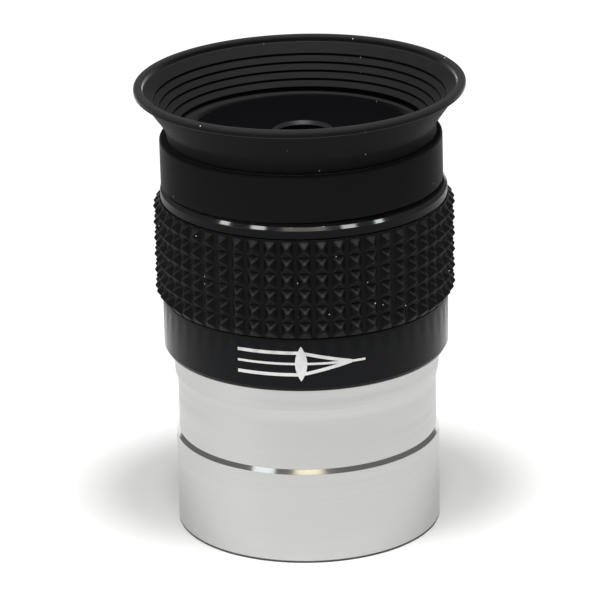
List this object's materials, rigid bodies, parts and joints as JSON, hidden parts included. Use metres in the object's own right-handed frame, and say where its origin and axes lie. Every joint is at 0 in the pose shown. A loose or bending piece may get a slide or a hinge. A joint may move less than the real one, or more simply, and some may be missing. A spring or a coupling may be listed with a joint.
{
  "type": "telescope eyepiece",
  "caption": "Slip-in telescope eyepiece with a silver barrel, a studded rubber grip, a flared fold-down eyecup and a lens cell with two cemented doublets.",
  "frame": {"origin": "centre of the barrel's lower end, on the surface it stands on", "axes": "+Z along the optical axis towards the eye; -Y is the side with the printed mark; +X to its right"},
  "size_m": [0.0392, 0.0392, 0.0549],
  "materials": {
    "silver_barrel": "fine-turned, satin clear anodised, with polished groove flank",
    "black_anodised": "satin black anodised, with a polished chamfer",
    "grip_rubber": "moulded matte rubber",
    "black_inside": "matt black anodised",
    "coated_glass": "polished, anti-reflection coated",
    "eyecup_rubber": "soft matte rubber"
  },
  "bodies": {
    "barrel": {"barrel": "silver_barrel"},
    "lens_stack": {"eye_flint": "coated_glass", "eye_crown": "coated_glass", "lens_spacer": "black_inside", "field_crown": "coated_glass", "field_flint": "coated_glass"},
    "housing": {"housing": "black_anodised", "grip_ring": "grip_rubber", "eye_plate": "black_inside", "cell_lock_ring": "black_inside", "lens_cell": "black_inside", "lens_retainer": "black_inside", "field_stop": "black_inside"},
    "eyecup": {"eyecup_skirt": "eyecup_rubber", "eyecup_flare": "eyecup_rubber"},
    "eyecup_rim": {"eyecup_rim": "eyecup_rubber"}
  },
  "joints": [
    {"name": "barrel_screw_travel", "type": "slide", "parent": "barrel", "child": "lens_stack", "axis": [0, 0, 1], "range_m": [0, 0.00451]},
    {"name": "barrel_screw_turn", "type": "hinge", "parent": "lens_stack", "child": "housing", "pos_m": [0, 0, 0.024], "axis": [0, 0, 1], "range_deg": [0, 2160]},
    {"name": "eyecup_lift", "type": "slide", "parent": "housing", "child": "eyecup", "axis": [0, 0, 1], "range_m": [0, 0.008]},
    {"name": "eyecup_fold", "type": "slide", "parent": "eyecup", "child": "eyecup_rim", "axis": [0, 0, 1], "range_m": [-0.0084, 0], "deforming": ["eyecup_flare"]}
  ],
  "couplings": [
    {"joint": "barrel_screw_travel", "follows": "barrel_screw_turn", "m_per_rad": 0.00011937}
  ]
}
